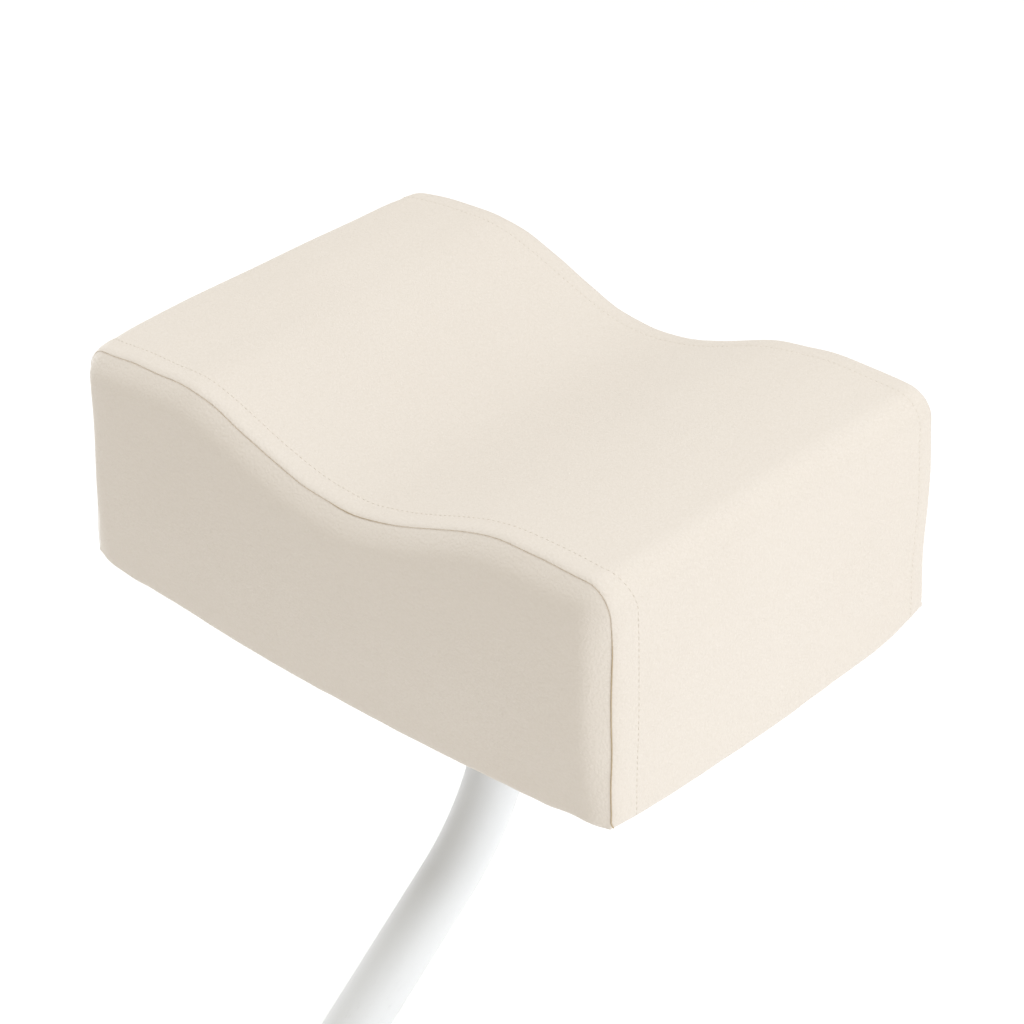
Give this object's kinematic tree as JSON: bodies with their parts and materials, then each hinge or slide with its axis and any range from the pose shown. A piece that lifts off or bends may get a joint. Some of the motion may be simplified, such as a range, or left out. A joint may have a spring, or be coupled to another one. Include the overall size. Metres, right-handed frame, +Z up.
{
  "type": "pedicure footrest stool",
  "caption": "Free-standing leg rest with a wavy upholstered pad that tilts on a bent arm, which slides in a slanted sleeve on a U-shaped tube base.",
  "frame": {"origin": "on the floor, under the middle of the stool's bounding box", "axes": "+Z up; X across the leg, along the waves of the pad; Y along the leg, with the slanted arm's foot towards -Y"},
  "size_m": [0.368, 0.583, 0.6185],
  "materials": {
    "cover": "satin",
    "foam": "matte",
    "board": "matte",
    "dust_cloth": "matte",
    "zinc": "satin",
    "bracket_steel": "satin",
    "knob_plastic": "satin",
    "brass_insert": "satin",
    "white_paint": "satin",
    "nylon": "matte",
    "black_plastic": "matte",
    "foot_rubber": "matte"
  },
  "bodies": {
    "base": {"base_rail": "white_paint", "base_cross_tube": "white_paint", "sleeve_tube": "white_paint", "sleeve_cheeks": "white_paint", "sleeve_bush": "black_plastic", "clamp_boss": "white_paint", "guide_boss": "white_paint", "guide_screw": "zinc", "guide_locknut": "zinc", "rail_end_caps": "black_plastic", "rubber_feet": "foot_rubber", "foot_screws": "zinc"},
    "arm": {"arm_tube": "white_paint", "pivot_boss": "white_paint", "pivot_bushes": "nylon", "arm_end_plug": "black_plastic"},
    "pad": {"cover_wrap": "cover", "cover_front_panel": "cover", "cover_rear_panel": "cover", "foam_core": "foam", "pad_board": "board", "dust_cover": "dust_cloth", "dust_cover_staples": "zinc", "tee_nuts": "zinc", "bracket_screws": "zinc", "bracket_plate": "bracket_steel", "bracket_ears": "bracket_steel", "tilt_stop_pins": "zinc", "tilt_bolt": "zinc", "tilt_washer": "zinc"},
    "tilt_knob": {"tilt_knob": "knob_plastic", "tilt_knob_insert": "brass_insert"},
    "clamp_shoe": {"clamp_shoe": "nylon"},
    "clamp_knob": {"clamp_stud": "zinc", "clamp_knob": "knob_plastic"}
  },
  "joints": [
    {"name": "arm_slide", "type": "slide", "parent": "base", "child": "arm", "axis": [0, 0.8, 0.6], "range_m": [-0.1, 0.03]},
    {"name": "pad_tilt", "type": "hinge", "parent": "arm", "child": "pad", "pos_m": [0, 0.16487, 0.45], "axis": [1, 0, 0], "range_deg": [-28, 28]},
    {"name": "tilt_knob_turn", "type": "hinge", "parent": "pad", "child": "tilt_knob", "pos_m": [0.045, 0.16487, 0.45], "axis": [1, 0, 0], "range_deg": [0, 180]},
    {"name": "clamp_shoe_slide", "type": "slide", "parent": "base", "child": "clamp_shoe", "axis": [1, 0, 0], "range_m": [0, 0.0025]},
    {"name": "clamp_knob_turn", "type": "hinge", "parent": "clamp_shoe", "child": "clamp_knob", "pos_m": [0.05, -0.01673, 0.2188], "axis": [1, 0, 0], "range_deg": [0, 720]}
  ],
  "couplings": [
    {"joint": "clamp_shoe_slide", "follows": "clamp_knob_turn", "m_per_rad": 0.00019894}
  ]
}
